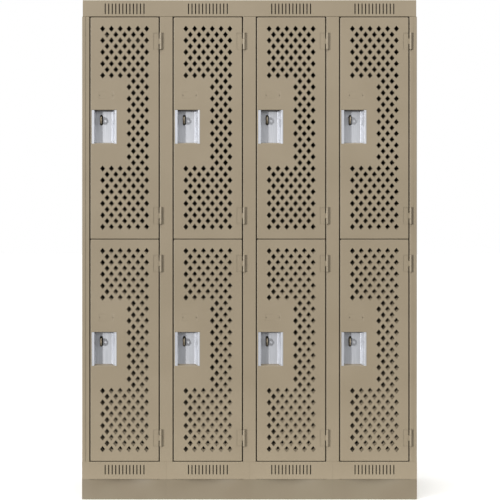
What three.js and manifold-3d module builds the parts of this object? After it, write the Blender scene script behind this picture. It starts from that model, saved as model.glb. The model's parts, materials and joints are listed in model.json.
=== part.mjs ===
// A bank of ventilated steel lockers: four columns, two tiers, eight double-pan doors.
//
// Millimetres, +Z up. The doors face -Y, and the origin is on the floor under the middle of the
// bank. Every piece is sheet steel: stiles and rails make the front frame, panels and shelves make
// the boxes behind it, and each door is an outer pan, an inner pan and a recessed finger pocket.
// Each door turns on two knuckle hinges at its right edge, and a hasp that is fixed to the frame
// comes through a slot in the pocket and takes a padlock.

import * as THREE from 'three';
import { mergeVertices } from 'three/addons/utils/BufferGeometryUtils.js';
import Module from 'manifold-3d';

const wasm = await Module();
wasm.setup();

// ---- Driving dimensions ----

const COLUMNS = 4;
const COLUMN_PITCH = 304.8;
const HEIGHT = 1828.8;
const DEPTH = 457.2;
const END_TRIM = 3.2;

const BASE_HEIGHT = 74.5;
const BOTTOM_GAP_Z = 139.4;
const TOP_GAP_Z = 1766.3;
const SIDE_GAP = 4;
const LEVEL_GAP = 2.5;
const STILE_HALF = 25.4;

const FIT = 0.3;
const FRAME_SHEET = 1.5;
const PANEL_SHEET = 1.2;
const DOOR_SHEET = 1.9;
const DOOR_THICKNESS = 30;
const STOP_DEPTH = 33;
const STOP_LIP = 13;
const RAIL_PROUD = 1.8;
const TRIM_WIDTH = 12;
const TOE_RECESS = 13;
const TOE_FLANGE = 18;
const TOE_FOOT = 6;
const INNER_FLANGE = 14;
const TOP_OVERHANG = 0.8;

const SLOTS_PER_RAIL = 12;
const SLOT_PITCH = 12.9;
const SLOT_WIDTH = 3.2;
const TOP_SLOT = { height: 38.5, below: 13.4 };
const BOTTOM_SLOT = { height: 34.8, below: 12.5 };

// The finger pocket: its place and size in the door, then its section from left to right. The ledge
// under it rises towards the back by the lift.
const POCKET = { left: 6.2, width: 91.6, height: 123.5, rise: 4.6, depth: 25, sheet: 1.2, front: 0.4 };
const POCKET_LIP = 10.2;
const POCKET_LEAN = 1;
const POCKET_FOOT = 72;
const POCKET_TURN = 85.5;
const POCKET_SKEW = 0.7;
const LEDGE_LIFT = 5;
const WINDOW_MARGIN = 6;
const POCKET_SLOT = { across: 33.4, below: 35.5, width: 11.5, height: 38.8 };
const PLATE_HOLES = { across: 35.8, spacing: 48.6, above: 53.8, radius: 1.75 };

const HINGE = { height: 60, radius: 4.5, pin: 2.5, bore: 3.1, beside: 5.6, proud: 2, leaf: 1.5 };
const HINGE_LEAF_WIDTH = 19;
const HINGE_FROM_TOP = 88.7;
const HINGE_FROM_BOTTOM = 86;
const NOTCH = { clear: 1.1, deep: 3.2, past: 0.1 };
const FRAME_LEAF = 4;

const HASP = { thick: 4, height: 28, plate: 2.5, tip: 4.5, nose: 3, chamfer: 8, hole: 4.5, holeDepth: 13 };

// ---- Places worked out from them ----

const BANK_HALF = (COLUMNS * COLUMN_PITCH) / 2;
const OUTER_HALF = BANK_HALF + END_TRIM;
const TOP_HALF = BANK_HALF + TOP_OVERHANG;
const BACK = DEPTH / 2;
const FACE = -DEPTH / 2 + HINGE.radius + HINGE.proud;
const DOOR_PITCH = (TOP_GAP_Z - BOTTOM_GAP_Z) / 2;
const MID_GAP_Z = BOTTOM_GAP_Z + DOOR_PITCH;
const OPENING = COLUMN_PITCH - 2 * STILE_HALF;
const STILE_EDGE = STILE_HALF - SIDE_GAP / 2;
const STOP_BACK = STOP_DEPTH + FRAME_SHEET;
const PANEL_FRONT = FACE + STOP_BACK + 0.5;
const PANEL_BACK = BACK - PANEL_SHEET - FIT;
const TOP_RAIL_Z = TOP_GAP_Z + LEVEL_GAP / 2;
const BOTTOM_RAIL_Z = BOTTOM_GAP_Z - LEVEL_GAP / 2;
const POCKET_BOTTOM = DOOR_PITCH / 2 + POCKET.rise - POCKET.height / 2;
const POCKET_TOP = POCKET_BOTTOM + POCKET.height;
const LEDGE_BACK = POCKET.depth + POCKET.sheet + FIT;
const SLOT_Z = POCKET_TOP - POCKET_SLOT.below;
const SLOT_X = POCKET.left + POCKET_SLOT.across;
const HINGE_X = OPENING + HINGE.beside;
const HINGE_HEIGHTS = [HINGE_FROM_BOTTOM, DOOR_PITCH - HINGE_FROM_TOP];

const boundaryX = (index) => -BANK_HALF + index * COLUMN_PITCH;

// ---- Finishes ----

const paint = (color) => new THREE.MeshStandardMaterial({ color, roughness: 0.55, metalness: 0 });
const framePaint = () => paint(0xa89b84);
const doorPaint = () => paint(0xa99d86);
const panelPaint = () => paint(0xa0947c);
const basePaint = () => paint(0x94886f);
const pocketSteel = () => new THREE.MeshStandardMaterial({ color: 0xd4d6d8, roughness: 0.3, metalness: 1 });

// ---- Solids ----

function solid(geometry) {
  const shell = geometry.clone();
  shell.deleteAttribute('normal');
  shell.deleteAttribute('uv');
  const merged = mergeVertices(shell, 1e-4);
  const vertProperties = new Float32Array(merged.attributes.position.array);
  const triVerts = new Uint32Array(merged.index.array);
  return new wasm.Manifold(new wasm.Mesh({ numProp: 3, vertProperties, triVerts }));
}

function geometryOf(manifold) {
  const mesh = manifold.getMesh();
  const geometry = new THREE.BufferGeometry();
  geometry.setAttribute('position', new THREE.BufferAttribute(mesh.vertProperties, 3));
  geometry.setIndex(new THREE.BufferAttribute(mesh.triVerts, 1));
  geometry.computeVertexNormals();
  return geometry;
}

function block(x0, x1, y0, y1, z0, z1) {
  const geometry = new THREE.BoxGeometry(x1 - x0, y1 - y0, z1 - z0);
  return solid(geometry.translate((x0 + x1) / 2, (y0 + y1) / 2, (z0 + z1) / 2));
}

function extrude(points, length) {
  const shape = new THREE.Shape(points.map(([u, v]) => new THREE.Vector2(u, v)));
  return new THREE.ExtrudeGeometry(shape, { depth: length, bevelEnabled: false });
}

// An outline of (x, y) points carried straight up from z0 to z1.
const upright = (points, z0, z1) => solid(extrude(points, z1 - z0).translate(0, 0, z0));

// An outline of (y, z) points carried across from x0 to x1.
function crosswise(points, x0, x1) {
  const geometry = extrude(points, x1 - x0);
  const turn = new THREE.Matrix4().makeBasis(
    new THREE.Vector3(0, 1, 0),
    new THREE.Vector3(0, 0, 1),
    new THREE.Vector3(1, 0, 0),
  );
  return solid(geometry.applyMatrix4(turn).translate(x0, 0, 0));
}

function postAt(x, y, z0, z1, radius, sides = 12) {
  const geometry = new THREE.CylinderGeometry(radius, radius, z1 - z0, sides);
  return solid(geometry.rotateX(Math.PI / 2).translate(x, y, (z0 + z1) / 2));
}

// A round bar along +Y, which drills holes through sheets that face the front.
function drillAt(x, z, y0, y1, radius, sides = 10) {
  const geometry = new THREE.CylinderGeometry(radius, radius, y1 - y0, sides);
  return solid(geometry.translate(x, (y0 + y1) / 2, z));
}

const joined = (first, ...rest) => rest.reduce((sum, piece) => sum.add(piece), first);
const less = (first, ...rest) => rest.reduce((left, piece) => left.subtract(piece), first);

const bank = new THREE.Group();

function addPart(group, name, manifold, material) {
  const mesh = new THREE.Mesh(geometryOf(manifold), material);
  mesh.name = name;
  group.add(mesh);
}

// ---- Front frame ----

// One side of a stile, from its face to its back edge. A side at a door opening turns back past the
// door and out again as a stop lip; a side at the end of the bank only turns back.
function stileSide(edge, outward, withLip) {
  const inner = edge - outward * FRAME_SHEET;
  const stop = FACE + STOP_DEPTH;
  const back = FACE + STOP_BACK;
  const lip = edge + outward * STOP_LIP;
  const turn = withLip ? [[edge, stop], [lip, stop], [lip, back]] : [[edge, back]];
  return [[edge, FACE], ...turn, [inner, back], [inner, FACE + FRAME_SHEET]];
}

// The hinge halves that are welded to a stile: two knuckles, the pin through both, and the leaf
// that ties them to the face. They stand in a notch, which leaves room for the door's knuckle.
function frameHinge(x, z) {
  const y = FACE - HINGE.proud;
  const half = HINGE.height / 2;
  const middle = half / 3;
  const leafBack = y + HINGE.radius;
  const leafFront = leafBack - HINGE.leaf;
  const reach = x + HINGE.radius + FRAME_LEAF;
  const lower = postAt(x, y, z - half, z - middle, HINGE.radius);
  const upper = postAt(x, y, z + middle, z + half, HINGE.radius);
  const pin = postAt(x, y, z - half, z + half, HINGE.pin);
  const lowerLeaf = block(x, reach, leafFront, leafBack, z - half, z - middle);
  const upperLeaf = block(x, reach, leafFront, leafBack, z + middle, z + half);
  return joined(lower, upper, pin, lowerLeaf, upperLeaf);
}

function hingeNotch(x, z) {
  const half = HINGE.height / 2 + 2 * FIT;
  const left = x - HINGE.beside + SIDE_GAP / 2 - NOTCH.past;
  const right = x + HINGE.radius + NOTCH.clear;
  return block(left, right, FACE - 1, FACE + NOTCH.deep, z - half, z + half);
}

function stile(index) {
  const first = index === 0;
  const last = index === COLUMNS;
  const end = OUTER_HALF - PANEL_SHEET - FIT;
  const left = first ? -end : boundaryX(index) - STILE_EDGE;
  const right = last ? end : boundaryX(index) + STILE_EDGE;
  const outline = [
    ...stileSide(right, 1, !last),
    ...stileSide(left, -1, !first).reverse(),
  ];
  let body = upright(outline, 0, TOP_RAIL_Z - FIT);
  if (!first) {
    const hingeX = boundaryX(index) - STILE_HALF + HINGE.beside;
    const heights = [BOTTOM_GAP_Z, MID_GAP_Z].flatMap((z) => HINGE_HEIGHTS.map((h) => z + h));
    for (const z of heights) {
      body = less(body, hingeNotch(hingeX, z));
      body = joined(body, frameHinge(hingeX, z));
    }
  }
  return body;
}

function ventSlots(centreX, topZ, slot) {
  const first = centreX - ((SLOTS_PER_RAIL - 1) / 2) * SLOT_PITCH;
  const cutters = [];
  for (let i = 0; i < SLOTS_PER_RAIL; i += 1) {
    const x = first + i * SLOT_PITCH;
    const z = topZ - slot.below;
    const half = SLOT_WIDTH / 2;
    cutters.push(block(x - half, x + half, FACE - 5, FACE + 5, z - slot.height, z));
  }
  return cutters;
}

const columnCentre = (column) => boundaryX(column) + COLUMN_PITCH / 2;

function topRail() {
  const half = TOP_HALF;
  const stop = FACE + STOP_DEPTH;
  const back = FACE + STOP_BACK;
  let rail = joined(
    block(-half, half, FACE, FACE + FRAME_SHEET, TOP_RAIL_Z, HEIGHT),
    block(-half, half, FACE, back, TOP_RAIL_Z, TOP_RAIL_Z + FRAME_SHEET),
  );
  for (let column = 0; column < COLUMNS; column += 1) {
    const reach = OPENING / 2 + SIDE_GAP / 2 - STOP_LIP - FIT;
    const x = columnCentre(column);
    const lipZ = TOP_RAIL_Z - STOP_LIP;
    rail = joined(rail, block(x - reach, x + reach, stop, back, lipZ, TOP_RAIL_Z + FRAME_SHEET));
    rail = less(rail, ...ventSlots(x, HEIGHT, TOP_SLOT));
  }
  return rail;
}

function bottomRail(column) {
  const x = columnCentre(column);
  const face = FACE - RAIL_PROUD;
  const left = column === 0 ? -OUTER_HALF : boundaryX(column) + FIT / 2;
  const right = column === COLUMNS - 1 ? OUTER_HALF : boundaryX(column + 1) - FIT / 2;
  const inside = COLUMN_PITCH / 2 - STILE_EDGE - FIT;
  const reach = OPENING / 2 + SIDE_GAP / 2 - STOP_LIP - FIT;
  const stop = FACE + STOP_DEPTH;
  const back = FACE + STOP_BACK;
  const top = BOTTOM_RAIL_Z;
  const rail = joined(
    block(left, right, face, FACE - FIT, BASE_HEIGHT, top),
    block(x - inside, x + inside, face, stop - FIT, top - FRAME_SHEET, top),
    block(x - reach, x + reach, stop - 1, back, top - FRAME_SHEET, top),
    block(x - reach, x + reach, stop, back, top - FRAME_SHEET, top + STOP_LIP),
    block(x - inside, x + inside, face, FACE + TOE_RECESS, BASE_HEIGHT, BASE_HEIGHT + FRAME_SHEET),
  );
  return less(rail, ...ventSlots(x, BOTTOM_GAP_Z, BOTTOM_SLOT));
}

// The sheet that closes the base under one column. Between the stiles it is pressed back as a toe
// recess, which is deepest under the rail and runs out just above the floor.
function toePanel(column) {
  const x = columnCentre(column);
  const left = column === 0 ? -OUTER_HALF : boundaryX(column) + FIT / 2;
  const right = column === COLUMNS - 1 ? OUTER_HALF : boundaryX(column + 1) - FIT / 2;
  const inside = COLUMN_PITCH / 2 - STILE_EDGE - FIT;
  const face = FACE - FIT - PANEL_SHEET;
  const back = face + PANEL_SHEET;
  const deep = FACE + TOE_RECESS;
  const top = BASE_HEIGHT - FIT;
  const flat = less(
    block(left, right, face, back, 0, top),
    block(x - inside, x + inside, face - 1, back + 1, TOE_FOOT, top + 1),
  );
  const cheek = [[face, TOE_FOOT], [deep, top], [face, top]];
  return joined(
    flat,
    crosswise([[face, 0], [back, 0], [deep, top], [deep - PANEL_SHEET, top], [face, TOE_FOOT]],
      x - inside, x + inside),
    crosswise(cheek, x - inside, x - inside + PANEL_SHEET),
    crosswise(cheek, x + inside - PANEL_SHEET, x + inside),
    block(x - inside, x + inside, deep - PANEL_SHEET, deep + TOE_FLANGE, top - PANEL_SHEET, top),
  );
}

// ---- Boxes behind the frame ----

// The side panel's front edge wraps round as a narrow trim strip on the stile. The strip is cut away
// where the base and its rail cover it.
function sidePanel(side) {
  const outer = OUTER_HALF;
  const inner = outer - PANEL_SHEET;
  const trim = outer - TRIM_WIDTH;
  const front = FACE - FIT - PANEL_SHEET;
  const outline = [
    [trim, front], [outer, front], [outer, BACK], [inner, BACK], [inner, FACE - FIT], [trim, FACE - FIT],
  ];
  const placed = outline.map(([x, y]) => [side * x, y]);
  const panel = upright(side < 0 ? placed.reverse() : placed, 0, TOP_RAIL_Z - FIT);
  const edges = [side * (trim - 1), side * (outer + 1)].sort((a, b) => a - b);
  return less(panel, block(...edges, front - 1, FACE, -1, BOTTOM_RAIL_Z + FIT));
}

// The cap over the boxes: a flat top, and a skirt that hangs under each end of it beside the rail.
function addTop() {
  const front = FACE + FRAME_SHEET + FIT;
  const under = TOP_RAIL_Z + FRAME_SHEET + FIT;
  const ceiling = HEIGHT - PANEL_SHEET;
  const inside = TOP_HALF - PANEL_SHEET;
  addPart(bank, 'top_panel', block(-TOP_HALF, TOP_HALF, front, BACK, ceiling, HEIGHT), panelPaint());
  for (const [side, x0, x1] of [['left', -TOP_HALF, -inside], ['right', inside, TOP_HALF]]) {
    addPart(bank, `top_skirt_${side}`, block(x0, x1, front, PANEL_BACK, under, ceiling - FIT), panelPaint());
  }
}

function insideEdges(column) {
  const gap = PANEL_SHEET / 2 + FIT;
  const end = OUTER_HALF - PANEL_SHEET - FIT;
  const left = column === 0 ? -end : boundaryX(column) + gap;
  const right = column === COLUMNS - 1 ? end : boundaryX(column + 1) - gap;
  return [left, right];
}

function tierShelf(column) {
  const x = columnCentre(column);
  const half = PANEL_SHEET / 2;
  const reach = OPENING / 2 + SIDE_GAP / 2 - STOP_LIP - FIT;
  const stop = FACE + STOP_DEPTH;
  const back = FACE + STOP_BACK;
  return joined(
    block(...insideEdges(column), PANEL_FRONT, PANEL_BACK, MID_GAP_Z - half, MID_GAP_Z + half),
    block(x - reach, x + reach, stop, PANEL_FRONT + 1, MID_GAP_Z - half, MID_GAP_Z + half),
    block(x - reach, x + reach, stop, back, MID_GAP_Z - STOP_LIP, MID_GAP_Z + STOP_LIP),
  );
}

function buildCarcass() {
  const end = OUTER_HALF - PANEL_SHEET - FIT;
  const floorTop = BOTTOM_RAIL_Z;
  const ceiling = HEIGHT - PANEL_SHEET - FIT;
  addPart(bank, 'left_side_panel', sidePanel(-1), panelPaint());
  addPart(bank, 'right_side_panel', sidePanel(1), panelPaint());
  addTop();
  const backSheet = block(-TOP_HALF, TOP_HALF, BACK - PANEL_SHEET, BACK, 0, ceiling);
  addPart(bank, 'back_panel', backSheet, panelPaint());
  const floorSheet = block(-end, end, PANEL_FRONT, PANEL_BACK, floorTop - PANEL_SHEET, floorTop);
  addPart(bank, 'bottom_panel', floorSheet, panelPaint());
  for (let index = 1; index < COLUMNS; index += 1) {
    const x = boundaryX(index);
    const half = PANEL_SHEET / 2;
    const sheet = block(x - half, x + half, PANEL_FRONT, PANEL_BACK, floorTop + FIT, ceiling);
    addPart(bank, `partition_${index}`, sheet, panelPaint());
  }
  for (let index = 0; index <= COLUMNS; index += 1) {
    addPart(bank, `stile_${index + 1}`, stile(index), framePaint());
  }
  addPart(bank, 'top_rail', topRail(), framePaint());
  for (let column = 0; column < COLUMNS; column += 1) {
    addPart(bank, `bottom_rail_${column + 1}`, bottomRail(column), framePaint());
    addPart(bank, `toe_panel_${column + 1}`, toePanel(column), basePaint());
    addPart(bank, `tier_shelf_${column + 1}`, tierShelf(column), panelPaint());
  }
}

// ---- Doors ----
// A door is drawn with x from the middle of the gap at its left, y from its face and z from the
// middle of the gap under it.

function outerPan() {
  const gap = SIDE_GAP / 2;
  const rise = LEVEL_GAP / 2;
  const skin = DOOR_SHEET;
  const flange = DOOR_THICKNESS - FIT - PANEL_SHEET;
  const right = OPENING - gap;
  const top = DOOR_PITCH - rise;
  const tray = less(
    block(gap, right, 0, flange, rise, top),
    block(gap + skin, right - skin, skin, flange + 1, rise + skin, top - skin),
  );
  const { left, width } = POCKET;
  const mouth = block(left, left + width, -1, skin + 1, POCKET_BOTTOM, POCKET_TOP);
  const ledge = crosswise([
    [0, POCKET_BOTTOM - FRAME_SHEET], [LEDGE_BACK, POCKET_BOTTOM + LEDGE_LIFT - FRAME_SHEET],
    [LEDGE_BACK, POCKET_BOTTOM + LEDGE_LIFT], [0, POCKET_BOTTOM],
  ], left, left + width);
  const hood = block(left, left + width, 0, LEDGE_BACK, POCKET_TOP, POCKET_TOP + FRAME_SHEET);
  const holesZ = POCKET_TOP + PLATE_HOLES.above;
  const holeX = PLATE_HOLES.across;
  let pan = less(
    tray,
    mouth,
    drillAt(holeX, holesZ, -1, skin + 1, PLATE_HOLES.radius),
    drillAt(holeX + PLATE_HOLES.spacing, holesZ, -1, skin + 1, PLATE_HOLES.radius),
  );
  pan = joined(pan, ledge, hood);
  for (const z of HINGE_HEIGHTS) {
    pan = withHingeLeaf(pan, right, z);
  }
  return pan;
}

// The door's half of a hinge: a leaf let into the face, and one knuckle bored for the pin.
function withHingeLeaf(pan, edge, z) {
  const y = -HINGE.proud;
  const leafBack = y + HINGE.radius;
  const leafFront = leafBack - HINGE.leaf;
  const half = HINGE.height / 2;
  const knuckle = half / 3 - FIT;
  const inner = edge - HINGE_LEAF_WIDTH;
  const seat = block(inner, edge + 1, -1, leafFront, z - half, z + half);
  const leaf = block(inner, edge, leafFront, leafBack, z - half, z + half);
  const bridge = block(edge - 1, HINGE_X, leafFront, leafBack, z - knuckle, z + knuckle);
  const barrel = postAt(HINGE_X, y, z - knuckle, z + knuckle, HINGE.radius);
  const bore = postAt(HINGE_X, y, z - half, z + half, HINGE.bore);
  return less(joined(less(pan, seat), leaf, bridge, barrel), bore);
}

function innerPan() {
  const inset = SIDE_GAP / 2 + DOOR_SHEET + FIT;
  const lift = LEVEL_GAP / 2 + DOOR_SHEET + FIT;
  const back = DOOR_THICKNESS;
  const skin = PANEL_SHEET;
  const right = OPENING - inset;
  const top = DOOR_PITCH - lift;
  const flangeFront = back - INNER_FLANGE;
  const tray = less(
    block(inset, right, flangeFront, back, lift, top),
    block(inset + skin, right - skin, flangeFront - 1, back - skin, lift + skin, top - skin),
  );
  const margin = WINDOW_MARGIN;
  const { left, width } = POCKET;
  const window = block(
    left + margin,
    left + width - 2 * margin,
    back - skin - 1,
    back + 1,
    POCKET_BOTTOM + margin,
    POCKET_TOP - margin,
  );
  return less(tray, window);
}

// The finger pocket is one bent strip: a lip flush with the door, a wall straight back, a flat back,
// a slope up to the face and a narrow lip. The pan's hood and ledge close its top and bottom, and
// its lower edge follows the ledge.
function pocketStrip() {
  const { left, width, depth, sheet, front } = POCKET;
  const right = left + width - FIT;
  const lip = left + POCKET_LIP;
  const foot = left + POCKET_FOOT;
  const turn = left + POCKET_TURN;
  const back = depth + sheet;
  const outline = [
    [left + FIT, front], [lip, front], [lip + POCKET_LEAN, depth], [foot, depth], [turn, front],
    [right, front], [right, front + sheet], [turn + POCKET_SKEW, front + sheet],
    [foot + POCKET_SKEW, back], [lip + POCKET_LEAN - sheet, back], [lip - sheet, front + sheet],
    [left + FIT, front + sheet],
  ];
  const below = POCKET_BOTTOM - LEDGE_LIFT;
  const ledgeGap = crosswise([
    [-1, below], [LEDGE_BACK, below], [LEDGE_BACK, POCKET_BOTTOM + LEDGE_LIFT + FIT],
    [0, POCKET_BOTTOM + FIT], [-1, POCKET_BOTTOM + FIT],
  ], left, left + width);
  const strip = less(upright(outline, POCKET_BOTTOM, POCKET_TOP - FIT), ledgeGap);
  const radius = POCKET_SLOT.width / 2;
  const straight = POCKET_SLOT.height / 2 - radius;
  const y0 = depth - 2;
  const y1 = depth + 4;
  return less(
    strip,
    block(SLOT_X - radius, SLOT_X + radius, y0, y1, SLOT_Z - straight, SLOT_Z + straight),
    drillAt(SLOT_X, SLOT_Z - straight, y0, y1, radius, 12),
    drillAt(SLOT_X, SLOT_Z + straight, y0, y1, radius, 12),
  );
}

// The hasp is welded behind the stop lip and reaches through the door to the padlock's place.
function hasp() {
  const half = HASP.height / 2;
  const plateFront = STOP_BACK + FIT;
  const plateBack = plateFront + HASP.plate;
  const x0 = SLOT_X - HASP.thick / 2;
  const x1 = SLOT_X + HASP.thick / 2;
  const tongue = crosswise([
    [plateBack, -half], [plateBack, half], [POCKET.depth - 2, half],
    [HASP.tip + HASP.nose, half - HASP.chamfer], [HASP.tip, HASP.nose], [HASP.tip, -HASP.nose],
    [HASP.tip + HASP.nose, HASP.chamfer - half], [POCKET.depth - 2, -half],
  ].reverse(), x0, x1);
  const eye = new THREE.CylinderGeometry(HASP.hole, HASP.hole, 3 * HASP.thick, 12);
  const drill = solid(eye.rotateZ(Math.PI / 2).translate(SLOT_X, HASP.holeDepth, 0));
  return joined(less(tongue, drill), block(0, x1, plateFront, plateBack, -half, half));
}

function buildDoors() {
  const shapes = {
    outer_pan: [outerPan(), doorPaint],
    inner_pan: [innerPan(), panelPaint],
    pocket: [pocketStrip(), pocketSteel],
  };
  const haspShape = hasp();
  const tiers = { upper: MID_GAP_Z, lower: BOTTOM_GAP_Z };
  for (const [tier, floorZ] of Object.entries(tiers)) {
    for (let column = 0; column < COLUMNS; column += 1) {
      const place = new THREE.Group();
      place.position.set(boundaryX(column) + STILE_HALF, FACE, floorZ);
      for (const [piece, [shape, finish]] of Object.entries(shapes)) {
        addPart(place, `${tier}_door_${column + 1}_${piece}`, shape, finish());
      }
      addPart(place, `${tier}_hasp_${column + 1}`, haspShape, framePaint());
      place.children.at(-1).position.z = SLOT_Z - 1;
      bank.add(place);
    }
  }
}

buildCarcass();
buildDoors();

export default bank;
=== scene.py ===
"""A bank of ventilated steel lockers, four columns by two tiers: fine meshes, finishes, light and camera.

Shapes are worked out in millimetres and put into the meshes in metres. +Z is up and the doors face
-Y. Nearly everything on a locker is pressed from flat sheet, so nearly every piece here is too: a
flat blank is cut with its holes, given the sheet's thickness, and folded along straight lines.
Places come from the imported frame: the door openings, the gaps between doors and the hinge axes.
"""

import json
import math
from collections import namedtuple

import bpy
import numpy as np
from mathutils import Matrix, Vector
from mathutils.geometry import delaunay_2d_cdt


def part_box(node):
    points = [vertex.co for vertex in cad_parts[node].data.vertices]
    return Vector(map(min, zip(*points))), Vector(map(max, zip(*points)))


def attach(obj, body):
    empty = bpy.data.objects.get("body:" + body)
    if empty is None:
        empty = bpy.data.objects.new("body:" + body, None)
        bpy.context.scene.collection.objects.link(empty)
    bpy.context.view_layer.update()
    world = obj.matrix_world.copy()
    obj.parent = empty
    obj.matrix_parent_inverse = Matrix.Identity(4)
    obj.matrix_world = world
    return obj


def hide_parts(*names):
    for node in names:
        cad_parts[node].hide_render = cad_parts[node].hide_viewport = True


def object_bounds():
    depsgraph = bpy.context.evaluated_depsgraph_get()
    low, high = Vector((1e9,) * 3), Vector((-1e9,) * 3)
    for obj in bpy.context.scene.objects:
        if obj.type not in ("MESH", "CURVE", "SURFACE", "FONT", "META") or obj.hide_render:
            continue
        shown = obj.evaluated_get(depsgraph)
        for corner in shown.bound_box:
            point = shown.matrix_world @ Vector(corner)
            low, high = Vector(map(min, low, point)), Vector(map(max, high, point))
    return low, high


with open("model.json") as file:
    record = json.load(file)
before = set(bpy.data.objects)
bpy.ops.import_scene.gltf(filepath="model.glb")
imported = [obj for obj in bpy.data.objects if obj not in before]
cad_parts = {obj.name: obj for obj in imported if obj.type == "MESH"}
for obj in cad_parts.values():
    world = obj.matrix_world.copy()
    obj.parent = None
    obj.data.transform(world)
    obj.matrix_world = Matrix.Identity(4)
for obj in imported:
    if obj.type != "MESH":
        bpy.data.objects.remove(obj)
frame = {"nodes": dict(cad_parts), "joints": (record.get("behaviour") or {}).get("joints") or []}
CAD_BOX = [list(corner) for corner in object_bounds()]

MM = 0.001
QUARTER = math.pi / 2
COLUMNS = (1, 2, 3, 4)
TIERS = ("upper", "lower")
ROOT = "root"


# ---- Places, from the frame ----


def box_mm(node):
    """A CAD node's lowest and highest corners in millimetres."""
    low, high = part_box(node)
    return np.array(low) / MM, np.array(high) / MM


BANK_HIGH = np.array(CAD_BOX[1]) / MM
HEIGHT = BANK_HIGH[2]
BACK = BANK_HIGH[1]
OUTER_HALF = BANK_HIGH[0]
FACE = box_mm("top_rail")[0][1]
TOP_RAIL_Z = box_mm("stile_2")[1][2] + 0.3
TOP_HALF = box_mm("top_rail")[1][0]
BASE_HEIGHT = box_mm("bottom_rail_1")[0][2]
TOE_TOP = box_mm("toe_panel_1")[1][2]
FLOOR_TOP = box_mm("bottom_panel")[1][2]
SHELF_LOW, SHELF_HIGH = box_mm("tier_shelf_2")
SHELF_Z = (SHELF_LOW[2] + SHELF_HIGH[2]) / 2
PARTITIONS = [sum(box_mm(f"partition_{n}"))[0] / 2 for n in (1, 2, 3)]
PITCH = PARTITIONS[1] - PARTITIONS[0]
BOUNDARIES = [PARTITIONS[0] - PITCH, *PARTITIONS, PARTITIONS[2] + PITCH]
PANEL_FRONT, PANEL_BACK = SHELF_LOW[1], SHELF_HIGH[1]
HINGES = {j["child"]: np.array(j["pos_m"]) / MM for j in frame["joints"]}

SIDE_GAP = 4.0
LEVEL_GAP = 2.5
STILE_EDGE = 23.4
STILE_HALF = STILE_EDGE + SIDE_GAP / 2
OPENING = PITCH - 2 * STILE_HALF
DOOR_PITCH = box_mm("upper_door_1_outer_pan")[0][2] - box_mm("lower_door_1_outer_pan")[0][2]

# ---- Sheet-metal sizes ----

BEND = 2.0
TIGHT = 1.2
MOUTH_BEND = 1.8
MOUTH_SLIT = 0.4
FRAME_SHEET = 1.5
DOOR_SHEET = 1.5
PANEL_SHEET = 1.2
FIT = 0.3
STOP_DEPTH = 33.0
STOP_LIP = 13.0
TOE_RECESS = 13.0
TOE_RUN = 0.95
TRIM_WIDTH = 12.0
RAIL_PROUD = 1.8
FLANGE_DEPTH = 28.5
INNER_PAN_FRONT = 28.8
INNER_FLANGE = 14.0

DIAMOND = (18.6, 23.0)
DIAMOND_TIP = 0.7
DIAMOND_PITCH = 32.2
DIAMOND_ROW = 21.33
DIAMOND_ROWS = 35
DIAMOND_COLUMNS = 6
DIAMOND_TOP = 43.1
BLANK_ROWS = range(9, 24)
INNER_PAN_RISE = {"upper": 1.9, "lower": 4.2}

POCKET_LEFT = 6.2
POCKET_WIDTH = 91.6
POCKET_HEIGHT = 123.5
POCKET_RISE = 4.6
POCKET_DEPTH = 25.0
POCKET_FRONT = 0.4
POCKET_LEAN = 0.8
POCKET_LIP = 10.2
POCKET_FOOT = 72.0
POCKET_TURN = 85.5
POCKET_SHEET = 1.0
LEDGE_LIFT = 5.0
LEDGE_REACH = 26.5
SLOT_ACROSS = 33.4
SLOT_BELOW = 35.5
SLOT_SIZE = (11.5, 38.8)
POCKET_BOTTOM = DOOR_PITCH / 2 + POCKET_RISE - POCKET_HEIGHT / 2
POCKET_TOP = POCKET_BOTTOM + POCKET_HEIGHT
SLOT_X = POCKET_LEFT + SLOT_ACROSS
SLOT_Z = POCKET_TOP - SLOT_BELOW

PLATE_ACROSS = 35.8
PLATE_SPACING = 48.6
PLATE_ABOVE = 53.8
PLATE_HOLE = 1.75
PLATE_SEAT = (57.0, 27.0)

KNUCKLE = 4.5
LEAF_SHEET = 1.5
LEAF_RECESS = 1.0
NOTCH_PAST = 1.2
HINGE_HALF = 30.0
HINGE_THIRD = 10.0
DOOR_LEAF = 19.0
FRAME_LEAF = 12.0
PIN_RADIUS = 2.4
PIN_HEAD = (3.4, 1.8)

HASP_SHEET = 3.0
HASP_PLATE = 2.5
HASP_TIP = 4.5
HASP_EYE = 12.5
HASP_HOLE = 5.0
HASP_BACK = STOP_DEPTH + FRAME_SHEET + FIT + HASP_PLATE

HOOK_ROD = 2.6
HOOK_BOWL = 14.0
HOOK_DROP = 34.0
ROUNDING = 4
BOLT = (6.5, 0.8)
BOLT_LEVELS = (FLOOR_TOP + 40, SHELF_Z - 60, SHELF_Z + 60, HEIGHT - 90)
BUMPER = (6.0, 2.6)
BUMPER_RISE = 150.0
CURL = 5.3
HINGE_Z = (86.0, DOOR_PITCH - 88.7)

VENT_COUNT = 12
VENT_PITCH = 12.9
VENT_WIDTH = 3.8
TOP_VENT = (13.4, 38.5)
BOTTOM_VENT = (12.5, 34.8)


# ---- Shells ----
# A shell is a closed skin. Its faces are kept in blocks of equal-sized faces, and each face corner
# has its own normal, so that a flat stays flat beside a bend. Shells with no normals are shaded by
# the angle between their faces.

Shell = namedtuple("Shell", "points flat blocks")
Block = namedtuple("Block", "corners normals")
Bend = namedtuple("Bend", "axis side at radius turn tab", defaults=(None,))


def rectangle(x0, x1, z0, z1):
    return [(x0, z0), (x1, z0), (x1, z1), (x0, z1)]


def disc(x, z, radius, sides=20):
    """Points evenly round a circle, anticlockwise."""
    angle = np.arange(sides) * 2 * math.pi / sides
    return list(zip(x + radius * np.cos(angle), z + radius * np.sin(angle)))


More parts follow.
